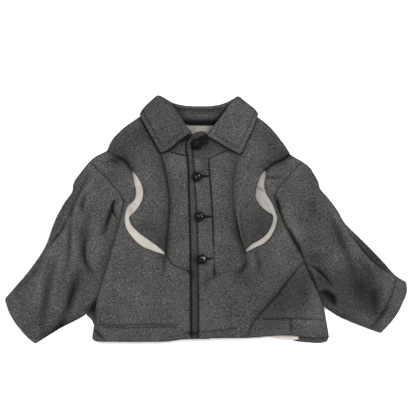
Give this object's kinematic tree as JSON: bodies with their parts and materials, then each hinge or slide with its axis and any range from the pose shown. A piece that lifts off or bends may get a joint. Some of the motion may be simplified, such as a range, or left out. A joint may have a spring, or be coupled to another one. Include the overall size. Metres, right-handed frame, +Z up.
{
  "type": "blouson",
  "caption": "Cropped felted-wool blouson laid flat, front up, with a turned-down collar, curved front slits showing a pale lining, and a buttoned front.",
  "frame": {"origin": "on the underside of the back panel, about the middle of the body, level with the middle of the slits", "axes": "+Z up from the surface it lies on, +Y towards the collar, +X towards the wearer's left sleeve"},
  "size_m": [1.0571, 0.653, 0.0421],
  "materials": {
    "wool": "matt felted heather",
    "lining": "smooth twill",
    "leather": "polished"
  },
  "bodies": {
    "root": {"back_panel": "wool", "bib_right": "wool", "bib_left": "wool", "side_front_right": "wool", "side_front_left": "wool", "outer_front_right": "wool", "outer_front_left": "wool", "side_panel_left": "wool", "front_edge_strip": "wool", "button_band": "wool", "underlap": "wool", "stand_right": "wool", "stand_left": "wool", "stand_back": "wool", "collar_leaf_right": "wool", "collar_leaf_left": "wool", "collar_back": "wool", "top_sleeve_right": "wool", "under_sleeve_right": "wool", "top_sleeve_left": "wool", "under_sleeve_left": "wool", "lining_slit_right": "lining", "lining_slit_left": "lining", "lining_neck": "lining", "lining_hem": "lining", "button_1": "leather", "button_2": "leather", "button_3": "leather", "button_4": "leather"}
  },
  "joints": []
}
